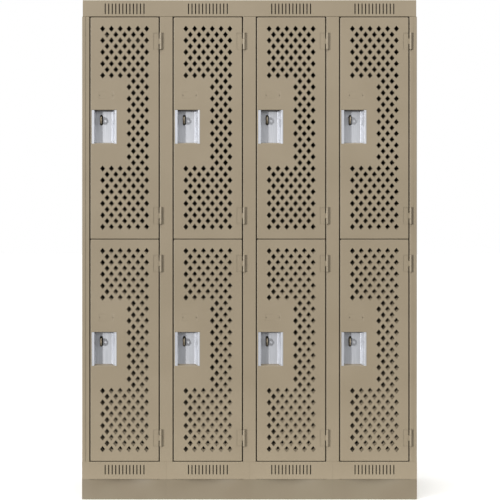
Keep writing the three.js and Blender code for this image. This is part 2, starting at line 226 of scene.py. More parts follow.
def obround(x, z, width, height, steps=8):
    """An upright slot with round ends: two half circles, joined by its straight sides."""
    radius = width / 2
    straight = height / 2 - radius
    angle = np.linspace(0, math.pi, steps + 1)
    top = zip(x + radius * np.cos(angle), z + straight + radius * np.sin(angle))
    bottom = zip(x - radius * np.cos(angle), z - straight - radius * np.sin(angle))
    return [*top, *bottom]


def rounded(corners, radius, steps=3):
    """A polygon whose corners are arcs: each arc touches both sides at radius / tan(half the corner)."""
    corners = np.array(corners, float)
    outline = []
    for before, corner, after in zip(np.roll(corners, 1, 0), corners, np.roll(corners, -1, 0)):
        to_before = (before - corner) / np.linalg.norm(before - corner)
        to_after = (after - corner) / np.linalg.norm(after - corner)
        half = math.acos(np.clip(to_before @ to_after, -1, 1)) / 2
        middle = (to_before + to_after) / np.linalg.norm(to_before + to_after)
        centre = corner + middle * radius / math.sin(half)
        start = corner + to_before * radius / math.tan(half) - centre
        end = corner + to_after * radius / math.tan(half) - centre
        for share in np.linspace(0, 1, steps):
            way = start * math.sin((1 - share) * (math.pi - 2 * half)) + end * math.sin(
                share * (math.pi - 2 * half)
            )
            outline.append(tuple(centre + way / math.sin(math.pi - 2 * half)))
    return outline


def tabbed(x0, x1, z0, z1, left, right, bottom, top):
    """A rectangle with a tab on each side. The tabs leave the corners open."""
    return [
        (x0, z0 - bottom), (x1, z0 - bottom), (x1, z0), (x1 + right, z0),
        (x1 + right, z1), (x1, z1), (x1, z1 + top), (x0, z1 + top),
        (x0, z1), (x0 - left, z1), (x0 - left, z0), (x0, z0),
    ]


def folds(axis, side, path, radius, span=None):
    """The bends that carry a sheet's front along a path, and where the flat blank ends.

    The path is corners of (coordinate along the axis, depth behind the base), starting on the base.
    Each corner becomes an arc of the given radius, which takes radius * tan(turn / 2) from both of
    its sides and radius * turn of the blank. The outermost bend comes first. A span across the axis
    limits the bends to a tab, between those ends and up to the blank's end.
    """
    path = np.array(path, float) * (side, 1)
    steps = np.diff(path, axis=0)
    lengths = np.hypot(*steps.T)
    turns = np.diff(np.arctan2(steps[:, 1], steps[:, 0]))
    trims = radius * np.tan(np.abs(turns) / 2)
    place = path[0, 0] + lengths[0]
    bends = []
    for turn, trim, length in zip(turns, trims, lengths[1:]):
        bends.append(Bend(axis, side, side * (place - trim), radius, turn))
        place += radius * abs(turn) - 2 * trim + length
    if span is not None:
        bends = [bend._replace(tab=(*span, place + 0.1)) for bend in bends]
    return bends[::-1], side * place


def crease_lines(bend, low, high):
    """Lines across the blank through a bend, close enough together to follow its arc."""
    count = max(4, round(abs(bend.turn) / 0.33))
    places = bend.at + bend.side * bend.radius * abs(bend.turn) * np.linspace(0, 1, count + 1)
    cross = 1 - bend.axis
    ends = (low[cross] - 1, high[cross] + 1) if bend.tab is None else bend.tab[:2]
    if bend.axis == 0:
        return [((place, ends[0]), (place, ends[1])) for place in places]
    return [((ends[0], place), (ends[1], place)) for place in places]


def cut_blank(outline, holes, lines):
    """The outline's area less the holes, as triangles that follow the lines. The outline has to run
    anticlockwise, so one with an area below nothing is turned round."""
    x, z = np.transpose(outline)
    if x @ np.roll(z, -1) < z @ np.roll(x, -1):
        outline = outline[::-1]
    loops = [outline, *holes]
    points = [Vector(point) for loop in loops for point in loop]
    starts = np.cumsum([0] + [len(loop) for loop in loops])
    faces = [list(range(first, last)) for first, last in zip(starts, starts[1:])]
    edges = [(len(points) + 2 * n, len(points) + 2 * n + 1) for n in range(len(lines))]
    points += [Vector(point) for line in lines for point in line]
    found = delaunay_2d_cdt(points, edges, faces, 1, 1e-4, True)
    triangles = np.array([face for face, owners in zip(found[2], found[5]) if owners == [0]])
    used, corners = np.unique(triangles, return_inverse=True)
    return np.array([tuple(found[0][n]) for n in used]), corners.reshape(-1, 3)


def thickened(flat, triangles, sheet, relief):
    """The blank at the front, its copy a sheet behind, and a wall on each edge of one triangle only.

    The relief gives how deep a place is pressed and how steeply along x and z: a point goes back by
    the depth, and its normal is (slope along x, -1, slope along z), made one long.
    """
    depth, slope_x, slope_z = relief(flat) if relief else np.zeros((3, len(flat)))
    front = np.column_stack([flat[:, 0], depth, flat[:, 1]])
    facing = np.column_stack([slope_x, -np.ones(len(flat)), slope_z])
    facing /= np.linalg.norm(facing, axis=1)[:, None]
    count = len(flat)
    edges = np.concatenate([triangles[:, [0, 1]], triangles[:, [1, 2]], triangles[:, [2, 0]]])
    forward = edges[:, 0] * count + edges[:, 1]
    backward = edges[:, 1] * count + edges[:, 0]
    first, second = edges[~np.isin(forward, backward)].T
    run = flat[second] - flat[first]
    outward = np.column_stack([run[:, 1], np.zeros(len(run)), -run[:, 0]])
    outward /= np.linalg.norm(outward, axis=1)[:, None]
    walls = np.column_stack([second, first, first + count, second + count])
    behind = triangles[:, ::-1]
    blocks = [
        Block(triangles, facing[triangles]),
        Block(behind + count, -facing[behind]),
        Block(walls, np.repeat(outward[:, None], 4, axis=1)),
    ]
    return Shell(np.concatenate([front, front + (0, sheet, 0)]), np.tile(flat, (2, 1)), blocks)


def folded(shell, bend):
    """The sheet past a line, turned round an axis that lies one radius behind it, or before it.

    With s the distance past the line and w the depth, the angle is s / radius up to the full turn,
    and what is left of s goes on straight: the new s is (radius - w) sin + rest cos, and the new w
    is radius - (radius - w) cos + rest sin. A turn to the front does the same with w reversed.
    """
    column = 0 if bend.axis == 0 else 2
    back = 1 if bend.turn > 0 else -1
    past = bend.side * (shell.points[:, column] - bend.at)
    moved = past > 0
    if bend.tab is not None:
        across = shell.flat[:, 1 - bend.axis]
        moved &= (across > bend.tab[0]) & (across < bend.tab[1])
        moved &= bend.side * shell.flat[:, bend.axis] < bend.tab[2]
    past = np.where(moved, past, 0)
    arc = bend.radius * abs(bend.turn)
    angle = np.minimum(past, arc) / bend.radius
    rest = np.maximum(past - arc, 0)
    inset = bend.radius - back * shell.points[:, 1]
    points = shell.points.copy()
    along = bend.at + bend.side * (inset * np.sin(angle) + rest * np.cos(angle))
    points[:, column] = np.where(moved, along, points[:, column])
    behind = back * (bend.radius - inset * np.cos(angle) + rest * np.sin(angle))
    points[:, 1] = np.where(moved, behind, points[:, 1])
    blocks = []
    for corners, normals in shell.blocks:
        turned = normals.copy()
        sine, cosine = np.sin(angle)[corners], np.cos(angle)[corners]
        ahead, deep = bend.side * normals[..., column], back * normals[..., 1]
        turned[..., column] = bend.side * (ahead * cosine - deep * sine)
        turned[..., 1] = back * (ahead * sine + deep * cosine)
        blocks.append(Block(corners, turned))
    return Shell(points, shell.flat, blocks)


def pressed(outline, sheet, bends=(), holes=(), lines=(), relief=None):
    """A piece of sheet metal: a blank cut out, given its thickness, and folded bend by bend."""
    low, high = np.min(outline, axis=0), np.max(outline, axis=0)
    creases = [line for bend in bends for line in crease_lines(bend, low, high)]
    flat, triangles = cut_blank(outline, holes, [*creases, *lines])
    shell = thickened(flat, triangles, sheet, relief)
    for bend in bends:
        shell = folded(shell, bend)
    return shell


def moved(shell, x=0.0, y=0.0, z=0.0):
    return shell._replace(points=shell.points + (x, y, z))


def turned(shell, rows):
    """The shell after a quarter turn that takes X, Y and Z to the three rows."""
    rows = np.array(rows, float)
    blocks = [Block(b.corners, None if b.normals is None else b.normals @ rows) for b in shell.blocks]
    return Shell(shell.points @ rows, shell.flat, blocks)


def turned_left(shell):
    """A quarter turn about the upright axis, which takes +X to +Y."""
    return turned(shell, [(0, 1, 0), (-1, 0, 0), (0, 0, 1)])


def tipped_back(shell):
    """A quarter turn about the X axis, which takes the front (-Y) to the top (+Z)."""
    return turned(shell, [(1, 0, 0), (0, 0, -1), (0, 1, 0)])


def skinned(rings, ends, sides):
    """A closed skin over rings of points, one after another, with a last point at each end."""
    near = np.arange(sides)
    far = (near + 1) % sides
    last = len(rings) - sides
    steps = np.arange(0, last, sides)[:, None]
    walls = np.stack([near + steps, far + steps, far + steps + sides, near + steps + sides], axis=-1)
    bottom = np.column_stack([far, near, np.full(sides, len(rings))])
    top = np.column_stack([near + last, far + last, np.full(sides, len(rings) + 1)])
    blocks = [Block(faces, None) for faces in (walls.reshape(-1, 4), bottom, top)]
    return Shell(np.concatenate([rings, ends]), None, blocks)


def lathed(profile, sides=20):
    """A profile of (radius, height) turned about the upright axis. It starts and ends on the axis."""
    profile = np.array(profile, float)
    angle = np.arange(sides) * 2 * math.pi / sides
    radius, height = profile[1:-1].T[:, :, None]
    circle = [radius * np.cos(angle), radius * np.sin(angle), np.repeat(height, sides, axis=1)]
    rings = np.stack(circle, axis=-1).reshape(-1, 3)
    return skinned(rings, [(0, 0, profile[0, 1]), (0, 0, profile[-1, 1])], sides)


def tube(route, radius, sides=12):
    """A rod along a route of (depth, height), with rounded ends. Each ring stands square to the
    route's own direction. The end rings shrink as a quarter circle does, and a last point closes
    each end."""
    route = np.array([(0, *corner) for corner in route], float)
    along = np.gradient(route, axis=0)
    along /= np.linalg.norm(along, axis=1)[:, None]
    share = np.linspace(0.25, 1, ROUNDING) * QUARTER
    inset = radius * np.cos(share)[:, None]
    centres = [route[0] - along[0] * inset, route[1:-1], route[-1] + along[-1] * inset[::-1]]
    ways = [np.repeat(along[:1], ROUNDING, 0), along[1:-1], np.repeat(along[-1:], ROUNDING, 0)]
    centres, ways = np.concatenate(centres), np.concatenate(ways)
    swell = np.sin(share)
    radii = radius * np.concatenate([swell, np.ones(len(route) - 2), swell[::-1]])
    right = np.cross(ways, (1.0, 0, 0))
    upward = np.cross(ways, right)
    angle = (np.arange(sides) * 2 * math.pi / sides)[:, None]
    spokes = right[:, None] * np.cos(angle) + upward[:, None] * np.sin(angle)
    rings = (centres[:, None] + radii[:, None, None] * spokes).reshape(-1, 3)
    return skinned(rings, [route[0] - along[0] * radius, route[-1] + along[-1] * radius], sides)


def add_piece(name, shells, material, body=ROOT, stands_for=()):
    """Puts shells into one mesh, in metres, and hangs it on a body of the frame."""
    points, faces, normals = [], [], []
    for shell in shells:
        start = sum(len(block) for block in points)
        points.append(shell.points * MM)
        for block in shell.blocks:
            faces += (block.corners + start).tolist()
            if block.normals is not None:
                normals.append(block.normals.reshape(-1, 3))
    mesh = bpy.data.meshes.new(name)
    mesh.from_pydata(np.concatenate(points).tolist(), [], faces)
    mesh.polygons.foreach_set("use_smooth", np.ones(len(faces), bool))
    if normals:
        mesh.normals_split_custom_set(np.concatenate(normals).tolist())
    else:
        mesh.set_sharp_from_angle(angle=math.radians(40))
    mesh.materials.append(material)
    piece = bpy.data.objects.new(name, mesh)
    bpy.context.scene.collection.objects.link(piece)
    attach(piece, body)
    if stands_for:
        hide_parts(*stands_for)
    return piece


# ---- Finishes ----


def linear(hex_colour):
    """An sRGB hex colour as linear red, green, blue and full alpha."""
    srgb = np.array([int(hex_colour[n : n + 2], 16) for n in (1, 3, 5)]) / 255
    curve = np.where(srgb <= 0.04045, srgb / 12.92, ((srgb + 0.055) / 1.055) ** 2.4)
    return (*curve, 1.0)


def add_node(tree, kind, settings=None, **links):
    """Adds a node. Settings name its properties and sockets, and links give what feeds a socket, with
    the socket's name's spaces as underscores."""
    node = tree.nodes.new(kind)
    for name, value in (settings or {}).items():
        if hasattr(node, name):
            setattr(node, name, value)
        else:
            node.inputs[name].default_value = value
    for name, source in links.items():
        tree.links.new(source, node.inputs[name.replace("_", " ")])
    return node


def two_tones(tree, factor, first, second, start=0.0, end=1.0):
    """A ramp between two hex colours, from a factor's start to its end."""
    ramp = add_node(tree, "ShaderNodeValToRGB", Fac=factor)
    for stop, colour, position in zip(ramp.color_ramp.elements, (first, second), (start, end)):
        stop.position = position
        stop.color = linear(colour)
    return ramp


def new_material(name):
    material = bpy.data.materials.new(name)
    material.use_nodes = True
    tree = material.node_tree
    tree.nodes.clear()
    output = add_node(tree, "ShaderNodeOutputMaterial")
    place = add_node(tree, "ShaderNodeTexCoord").outputs["Object"]
    return material, tree, output, place


def powder_coat(name, colour, shade):
    """Baked powder coat on steel: satin, with the fine orange peel that the paint sets to.

    The peel is about 1.5 mm across. The tone drifts a little over a hand's width, as sprayed
    powder does, and the gloss drifts with it.
    """
    material, tree, output, place = new_material(name)
    drift = add_node(
        tree, "ShaderNodeTexNoise", {"Scale": 6.0, "Detail": 2.0, "Roughness": 0.5}, Vector=place
    )
    tone = two_tones(tree, drift.outputs["Fac"], shade, colour, 0.35, 0.65)
    gloss = add_node(
        tree, "ShaderNodeMapRange", {"To Min": 0.46, "To Max": 0.54}, Value=drift.outputs["Fac"]
    )
    peel = add_node(tree, "ShaderNodeTexNoise", {"Scale": 650.0, "Detail": 1.0}, Vector=place)
    bump = add_node(
        tree, "ShaderNodeBump", {"Strength": 0.12, "Distance": 0.0004}, Height=peel.outputs["Fac"]
    )
    paint = add_node(
        tree,
        "ShaderNodeBsdfPrincipled",
        {"IOR": 1.5},
        Base_Color=tone.outputs["Color"],
        Roughness=gloss.outputs["Result"],
        Normal=bump.outputs["Normal"],
    )
    tree.links.new(paint.outputs["BSDF"], output.inputs["Surface"])
    return material


def stainless_steel(name, bright, dull):
    """Satin stainless, drawn upright: fine upright lines, about 1 mm across, vary tone and gloss."""
    material, tree, output, place = new_material(name)
    stretch = add_node(tree, "ShaderNodeMapping", {"Scale": (700.0, 700.0, 9.0)}, Vector=place)
    lines = add_node(
        tree, "ShaderNodeTexNoise", {"Scale": 1.0, "Detail": 3.0}, Vector=stretch.outputs["Vector"]
    )
    tone = two_tones(tree, lines.outputs["Fac"], dull, bright, 0.3, 0.7)
    gloss = add_node(
        tree, "ShaderNodeMapRange", {"To Min": 0.54, "To Max": 0.62}, Value=lines.outputs["Fac"]
    )
    bump = add_node(
        tree, "ShaderNodeBump", {"Strength": 0.05, "Distance": 0.0002}, Height=lines.outputs["Fac"]
    )
    steel = add_node(
        tree,
        "ShaderNodeBsdfPrincipled",
        {"Metallic": 1.0},
        Base_Color=tone.outputs["Color"],
        Roughness=gloss.outputs["Result"],
        Normal=bump.outputs["Normal"],
    )
    tree.links.new(steel.outputs["BSDF"], output.inputs["Surface"])
    return material


def zinc_plate(name, light, dark):
    """Zinc-plated steel: a cool grey whose crystals show as patches a few millimetres across."""
    material, tree, output, place = new_material(name)
    patches = add_node(tree, "ShaderNodeTexVoronoi", {"Scale": 300.0}, Vector=place)
    tone = two_tones(tree, patches.outputs["Distance"], light, dark)
    gloss = add_node(
        tree, "ShaderNodeMapRange", {"To Min": 0.3, "To Max": 0.45}, Value=patches.outputs["Distance"]
    )
    plate = add_node(
        tree,
        "ShaderNodeBsdfPrincipled",
        {"Metallic": 1.0},
        Base_Color=tone.outputs["Color"],
        Roughness=gloss.outputs["Result"],
    )
    tree.links.new(plate.outputs["BSDF"], output.inputs["Surface"])
    return material


def moulded_rubber(name, colour, dusty):
    """Moulded rubber: dull black that greys where dust has settled in its fine grain."""
    material, tree, output, place = new_material(name)
    grain = add_node(tree, "ShaderNodeTexNoise", {"Scale": 900.0, "Detail": 2.0}, Vector=place)
    tone = two_tones(tree, grain.outputs["Fac"], colour, dusty)
    bump = add_node(
        tree, "ShaderNodeBump", {"Strength": 0.2, "Distance": 0.0003}, Height=grain.outputs["Fac"]
    )
    rubber = add_node(
        tree,
        "ShaderNodeBsdfPrincipled",
        {"Roughness": 0.75, "IOR": 1.52},
        Base_Color=tone.outputs["Color"],
        Normal=bump.outputs["Normal"],
    )
    tree.links.new(rubber.outputs["BSDF"], output.inputs["Surface"])
    return material


FRAME_PAINT = powder_coat("satin_powder_coat_frame", "#776c59", "#746956")
DOOR_PAINT = powder_coat("satin_powder_coat_doors", "#776c59", "#746956")
PANEL_PAINT = powder_coat("satin_powder_coat_panels", "#776c59", "#746956")
# The base has the same tan coat as the rest, made darker: painted shade for the toe panels under the
# bottom rail.
SHADED_BASE_PAINT = powder_coat("satin_powder_coat_base_painted_shade", "#645b4a", "#615746")
STAINLESS = stainless_steel("drawn_stainless_steel", "#bebfc3", "#a7a9ad")
ZINC = zinc_plate("zinc_plated_steel", "#c8cbce", "#a9adb1")
RUBBER = moulded_rubber("moulded_rubber", "#1d1d1c", "#2b2a28")


# ---- Front frame ----


def hinge_heights():
    """Every hinge's height above the floor: two on each door."""
    bottoms = [box_mm(f"{tier}_door_1_outer_pan")[0][2] - LEVEL_GAP / 2 for tier in TIERS]
    return [bottom + height for bottom in bottoms for height in HINGE_Z]


# The hinge axis, measured from the boundary at its right and from the middle of the gap at the
# door's left.
AXIS_X = HINGES["upper_door_1"][0] - BOUNDARIES[1]
HINGE_X = OPENING + AXIS_X + STILE_HALF


def stile(index):
    """An upright of the front frame: a face, a side back past the door, and a lip for its stop."""
    first, last = index == 0, index == len(BOUNDARIES) - 1
    outer = OUTER_HALF - PANEL_SHEET - FIT - abs(BOUNDARIES[0])
    stop = [(STILE_EDGE, 0), (STILE_EDGE, STOP_DEPTH), (STILE_EDGE + STOP_LIP, STOP_DEPTH)]
    end = [(outer, 0), (outer, STOP_DEPTH + FRAME_SHEET)]
    left_bends, left = folds(0, -1, [(0, 0), *[(-a, w) for a, w in (end if first else stop)]], BEND)
    right_bends, right = folds(0, 1, [(0, 0), *(end if last else stop)], BEND)
    notches = []
    if not first:
        side = STILE_EDGE - BEND + BEND * QUARTER + NOTCH_PAST
        tall = HINGE_HALF + 2 * FIT
        notches = [
            rectangle(-side, AXIS_X + FRAME_LEAF + FIT, z - tall, z + tall) for z in hinge_heights()
        ]
    outline = rectangle(left, right, 0, TOP_RAIL_Z - FIT)
    return moved(
        pressed(outline, FRAME_SHEET, [*left_bends, *right_bends], notches),
        x=BOUNDARIES[index],
        y=FACE,
    )


def vents(centre, top, height):
    """A row of upright ventilation slots with their ends slightly rounded."""
    first = centre - (VENT_COUNT - 1) / 2 * VENT_PITCH
    half = VENT_WIDTH / 2
    return [
        rounded(rectangle(x - half, x + half, top - height, top), 0.8)
        for x in first + VENT_PITCH * np.arange(VENT_COUNT)
    ]


COLUMN_CENTRES = [x + PITCH / 2 for x in BOUNDARIES[:-1]]
STOP_HALF = OPENING / 2 + SIDE_GAP / 2 - STOP_LIP - FIT
BETWEEN_STILES = PITCH / 2 - STILE_EDGE - FIT


def top_rail():
    """One rail over all the doors. It turns back over them, and down between the stiles' lips."""
    foot = TOP_RAIL_Z
    down = [(HEIGHT - 10, 0), (foot, 0), (foot, STOP_DEPTH), (foot - STOP_LIP, STOP_DEPTH)]
    lower_bends, lower = folds(1, -1, down, BEND)
    upper_bends, upper = folds(1, 1, [(HEIGHT - 10, 0), (HEIGHT, 0), (HEIGHT, 3.4)], 3.0)
    lip = lower_bends[0].at
    outline = [(-TOP_HALF, lip)]
    for centre in COLUMN_CENTRES:
        outline += [
            (centre - STOP_HALF, lip), (centre - STOP_HALF, lower),
            (centre + STOP_HALF, lower), (centre + STOP_HALF, lip),
        ]
    outline += [(TOP_HALF, lip), (TOP_HALF, upper), (-TOP_HALF, upper)]
    slots = [s for centre in COLUMN_CENTRES for s in vents(centre, HEIGHT - TOP_VENT[0], TOP_VENT[1])]
    return moved(pressed(outline, FRAME_SHEET, [*lower_bends, *upper_bends], slots), y=FACE)


def bottom_rail(column):
    """The rail under one column: a proud face, a shelf back under the door with a stop lip, and a
    short return over the base."""
    low, high = box_mm(f"bottom_rail_{column}")
    top, foot = FLOOR_TOP, BASE_HEIGHT
    centre = COLUMN_CENTRES[column - 1]
    left, right = centre - BETWEEN_STILES, centre + BETWEEN_STILES
    span = (left - 0.1, right + 0.1)
    deep = STOP_DEPTH + RAIL_PROUD
    up = [(top - 10, 0), (top, 0), (top, deep), (top + STOP_LIP, deep)]
    upper_bends, upper = folds(1, 1, up, BEND, span)
    down = [(foot + 10, 0), (foot, 0), (foot, TOE_RECESS + RAIL_PROUD)]
    lower_bends, lower = folds(1, -1, down, BEND, span)
    lip = upper_bends[0].at
    root_top, root_foot = upper_bends[-1].at, lower_bends[-1].at
    slit_left, slit_right = left - 0.5, right + 0.5
    outline = [
        (low[0], foot), (slit_left, foot), (slit_left, root_foot), (left, root_foot), (left, lower),
        (right, lower), (right, root_foot), (slit_right, root_foot), (slit_right, foot), (high[0], foot),
        (high[0], top), (slit_right, top), (slit_right, root_top), (right, root_top), (right, lip),
        (centre + STOP_HALF, lip), (centre + STOP_HALF, upper),
        (centre - STOP_HALF, upper), (centre - STOP_HALF, lip),
        (left, lip), (left, root_top), (slit_left, root_top), (slit_left, top), (low[0], top),
    ]
    slots = vents(centre, FLOOR_TOP + LEVEL_GAP / 2 - BOTTOM_VENT[0], BOTTOM_VENT[1])
    return moved(
        pressed(outline, FRAME_SHEET, [*upper_bends, *lower_bends], slots), y=FACE - RAIL_PROUD
    )


def toe_panel(column):
    """The sheet that closes the base under one column, pressed back between the stiles as a toe
    recess: deepest in the middle under the rail, it runs out smoothly to both sides and to the floor.

    With u the share of the way in from a side and v the share of the height, the depth is the
    recess times s * s * (3 - 2 s) times v * v, where s is u over the length of the run-out.
    """
    low, high = box_mm(f"toe_panel_{column}")
    centre = COLUMN_CENTRES[column - 1]

    def recess(flat):
        side = (flat[:, 0] - centre) / BETWEEN_STILES
        run = np.clip((1 - np.abs(side)) / TOE_RUN, 0, 1)
        rise = np.clip(flat[:, 1] / TOE_TOP, 0, 1)
        across = run * run * (3 - 2 * run)
        steep = -np.sign(side) * 6 * run * (1 - run) / (TOE_RUN * BETWEEN_STILES)
        depth = TOE_RECESS * across * rise**2
        return depth, TOE_RECESS * steep * rise**2, TOE_RECESS * across * 2 * rise / TOE_TOP

    places = np.linspace(centre - BETWEEN_STILES, centre + BETWEEN_STILES, 33)
    heights = np.linspace(0, TOE_TOP, 9)[1:-1]
    lines = [((x, -1), (x, TOE_TOP + 1)) for x in places]
    lines += [((low[0] - 1, z), (high[0] + 1, z)) for z in heights]
    outline = rectangle(low[0], high[0], 0, TOE_TOP)
    return moved(pressed(outline, PANEL_SHEET, lines=lines, relief=recess), y=low[1])


# ---- Boxes behind the frame ----


def side_panel(side):
    """A side sheet whose front edge wraps round as a trim strip, down to the rail over the base."""
    front = FACE - FIT - PANEL_SHEET
    trim = OUTER_HALF - TRIM_WIDTH
    path = [(side * trim, 0), (side * OUTER_HALF, 0), (side * OUTER_HALF, BACK - front)]
    bends, end = folds(0, side, path, BEND)
    corner = bends[-1].at + side * BEND * QUARTER
    top = TOP_RAIL_Z - FIT
    foot = FLOOR_TOP + FIT
    outline = [(corner, 0), (end, 0), (end, top), (side * trim, top), (side * trim, foot), (corner, foot)]
    return moved(pressed(outline, PANEL_SHEET, bends), y=front)


def top_panel():
    """The cap: a flat top whose sides turn down as skirts. It is drawn facing up, then tipped back."""
    front = FACE + 3.8
    inner = PANEL_BACK
    skirt = HEIGHT - box_mm("top_skirt_left")[0][2]
    left_bends, left = folds(0, -1, [(0, 0), (-TOP_HALF, 0), (-TOP_HALF, skirt)], BEND)
    right_bends, right = folds(0, 1, [(0, 0), (TOP_HALF, 0), (TOP_HALF, skirt)], BEND)
    root_left, root_right = left_bends[0].at, right_bends[0].at
    outline = [
        (left, front), (right, front), (right, inner), (root_right, inner),
        (root_right, BACK), (root_left, BACK), (root_left, inner), (left, inner),
    ]
    shell = pressed(outline, PANEL_SHEET, [*left_bends, *right_bends])
    return moved(tipped_back(shell), z=HEIGHT)


def tier_shelf(column):
    """The shelf between two lockers of a column. Its front edge turns up as the doors' stop."""
    low, high = box_mm(f"tier_shelf_{column}")
    centre = COLUMN_CENTRES[column - 1]
    edge = PANEL_FRONT - 1
    shelf_bends, front = folds(1, -1, [(PANEL_BACK, 0), (edge, 0), (edge, STOP_LIP)], BEND)
    root = shelf_bends[0].at
    outline = [
        (low[0], root), (centre - STOP_HALF, root), (centre - STOP_HALF, front),
        (centre + STOP_HALF, front), (centre + STOP_HALF, root), (high[0], root),
        (high[0], PANEL_BACK), (low[0], PANEL_BACK),
    ]
    shell = pressed(outline, PANEL_SHEET, shelf_bends)
    return moved(tipped_back(shell), z=SHELF_Z + PANEL_SHEET / 2)


# ---- Doors ----
# A door is drawn with x from the middle of the gap at its left, y from its face and z from the
# middle of the gap under it.


def diamonds(rise=0.0):
    """The perforation: diamonds in rows, every second row half a pitch across, and blank where the
    finger pocket and the number plate go."""
    across = (np.arange(DIAMOND_COLUMNS) - (DIAMOND_COLUMNS - 1) / 2) * DIAMOND_PITCH + OPENING / 2
    width, height = DIAMOND
    outline = rounded([(0, -height / 2), (width / 2, 0), (0, height / 2), (-width / 2, 0)], DIAMOND_TIP)
    holes = []
    for row in range(DIAMOND_ROWS):
        between = row % 2
        columns = across[: DIAMOND_COLUMNS - between] + between * DIAMOND_PITCH / 2
        if row in BLANK_ROWS:
            columns = columns[3:]
        z = DOOR_PITCH - DIAMOND_TOP - row * DIAMOND_ROW + rise
        holes += [[(x + u, z + v) for u, v in outline] for x in columns]
    return holes


def pan_blank(low, high, depth, turn, radius):
    """A tray's blank and bends: a rectangle with a tab on each side, turned back or to the front."""
    (x0, z0), (x1, z1) = low, high
    deep = math.copysign(depth, turn)
    sides = [
        folds(0, -1, [(x1, 0), (x0, 0), (x0, deep)], radius),
        folds(0, 1, [(x0, 0), (x1, 0), (x1, deep)], radius),
        folds(1, -1, [(z1, 0), (z0, 0), (z0, deep)], radius),
        folds(1, 1, [(z0, 0), (z1, 0), (z1, deep)], radius),
    ]
    bends = [bend for found, _ in sides for bend in found]
    tabs = [abs(end - bend.at) for bend, (_, end) in zip(bends, sides)]
    return tabbed(*[bend.at for bend in bends], *tabs), bends


PLATE_LEFT = PLATE_ACROSS + PLATE_SPACING / 2 - PLATE_SEAT[0] / 2
PLATE_BOTTOM = POCKET_TOP + PLATE_ABOVE - PLATE_SEAT[1] / 2
SEAT_SLOPE = 2.4
SEAT_DEPTH = 0.4


def plate_seat(flat):
    """A shallow seat for a number plate: pressed in by a smooth step from its edge to its slope's foot.

    With t the distance in from the nearest edge over the slope's width, the depth is the seat's
    depth times t * t * (3 - 2 t).
    """
    centre = (PLATE_LEFT + PLATE_SEAT[0] / 2, PLATE_BOTTOM + PLATE_SEAT[1] / 2)
    inside = np.array(PLATE_SEAT) / 2 - np.abs(flat - centre)
    nearest = np.argmin(inside, axis=1)
    share = np.clip(inside.min(axis=1) / SEAT_SLOPE, 0, 1)
    steep = SEAT_DEPTH * 6 * share * (1 - share) / SEAT_SLOPE
    away = -np.sign(flat - centre)
    slope_x = np.where(nearest == 0, steep * away[:, 0], 0)
    slope_z = np.where(nearest == 1, steep * away[:, 1], 0)
    return SEAT_DEPTH * share * share * (3 - 2 * share), slope_x, slope_z


def seat_lines():
    """Loops at the top, the middle and the foot of the seat's slope."""
    lines = []
    for inset in (0, SEAT_SLOPE / 2, SEAT_SLOPE):
        right, top = PLATE_LEFT + PLATE_SEAT[0] - inset, PLATE_BOTTOM + PLATE_SEAT[1] - inset
        loop = rectangle(PLATE_LEFT + inset, right, PLATE_BOTTOM + inset, top)
        lines += list(zip(loop, loop[1:] + loop[:1]))
    return lines


def outer_pan():
    """The door's front: a perforated tray with the pocket's mouth, whose top and bottom edges turn
    in as a hood and a sloping ledge, and with a notch for each hinge leaf."""
    gap, rise = SIDE_GAP / 2, LEVEL_GAP / 2
    right = OPENING - gap
    outline, bends = pan_blank((gap, rise), (right, DOOR_PITCH - rise), FLANGE_DEPTH, 1, BEND)
    x0, x1 = POCKET_LEFT, POCKET_LEFT + POCKET_WIDTH
    inner = (x0 + MOUTH_SLIT, x1 - MOUTH_SLIT)
    z0, z1 = POCKET_BOTTOM, POCKET_TOP
    ledge_path = [(z0 - 10, 0), (z0, 0), (z0 + LEDGE_LIFT, LEDGE_REACH)]
    span = (inner[0] - 0.1, inner[1] + 0.1)
    ledge_bends, ledge = folds(1, 1, ledge_path, MOUTH_BEND, span)
    hood_bends, hood = folds(1, -1, [(z1 + 10, 0), (z1, 0), (z1, LEDGE_REACH)], MOUTH_BEND, span)
    low_root, high_root = ledge_bends[0].at, hood_bends[0].at
    mouth = [
        (x0, low_root), (inner[0], low_root), (inner[0], ledge), (inner[1], ledge),
        (inner[1], low_root), (x1, low_root), (x1, high_root), (inner[1], high_root),
        (inner[1], hood), (inner[0], hood), (inner[0], high_root), (x0, high_root),
    ]
    plate_z = POCKET_TOP + PLATE_ABOVE
    screws = [disc(PLATE_ACROSS + n * PLATE_SPACING, plate_z, PLATE_HOLE, 12) for n in (0, 1)]
    edge = right - BEND + BEND * QUARTER + 3
    tall = HINGE_HALF + FIT
    seats = [rectangle(right - DOOR_LEAF - FIT, edge, z - tall, z + tall) for z in HINGE_Z]
    folding = [*ledge_bends, *hood_bends, *bends]
    holes = [mouth, *screws, *seats, *diamonds()]
    return pressed(outline, DOOR_SHEET, folding, holes, seat_lines(), plate_seat)


def inner_pan(rise):
    """The door's back: a perforated tray that faces the outer one, with a window for the pocket. Its
    perforation stands a little higher than the outer pan's."""
    inset = SIDE_GAP / 2 + DOOR_SHEET + 2 * FIT
    lift = LEVEL_GAP / 2 + DOOR_SHEET + 2 * FIT
    outline, bends = pan_blank(
        (inset + PANEL_SHEET, lift + PANEL_SHEET),
        (OPENING - inset - PANEL_SHEET, DOOR_PITCH - lift - PANEL_SHEET),
        INNER_FLANGE - PANEL_SHEET,
        -1,
        TIGHT,
    )
    sides = (POCKET_LEFT + 6, POCKET_LEFT + POCKET_WIDTH - 12)
    window = rounded(rectangle(*sides, POCKET_BOTTOM + 6, POCKET_TOP - 6), 3)
    shell = pressed(outline, PANEL_SHEET, bends, [window, *diamonds(rise)])
    return moved(shell, y=INNER_PAN_FRONT)


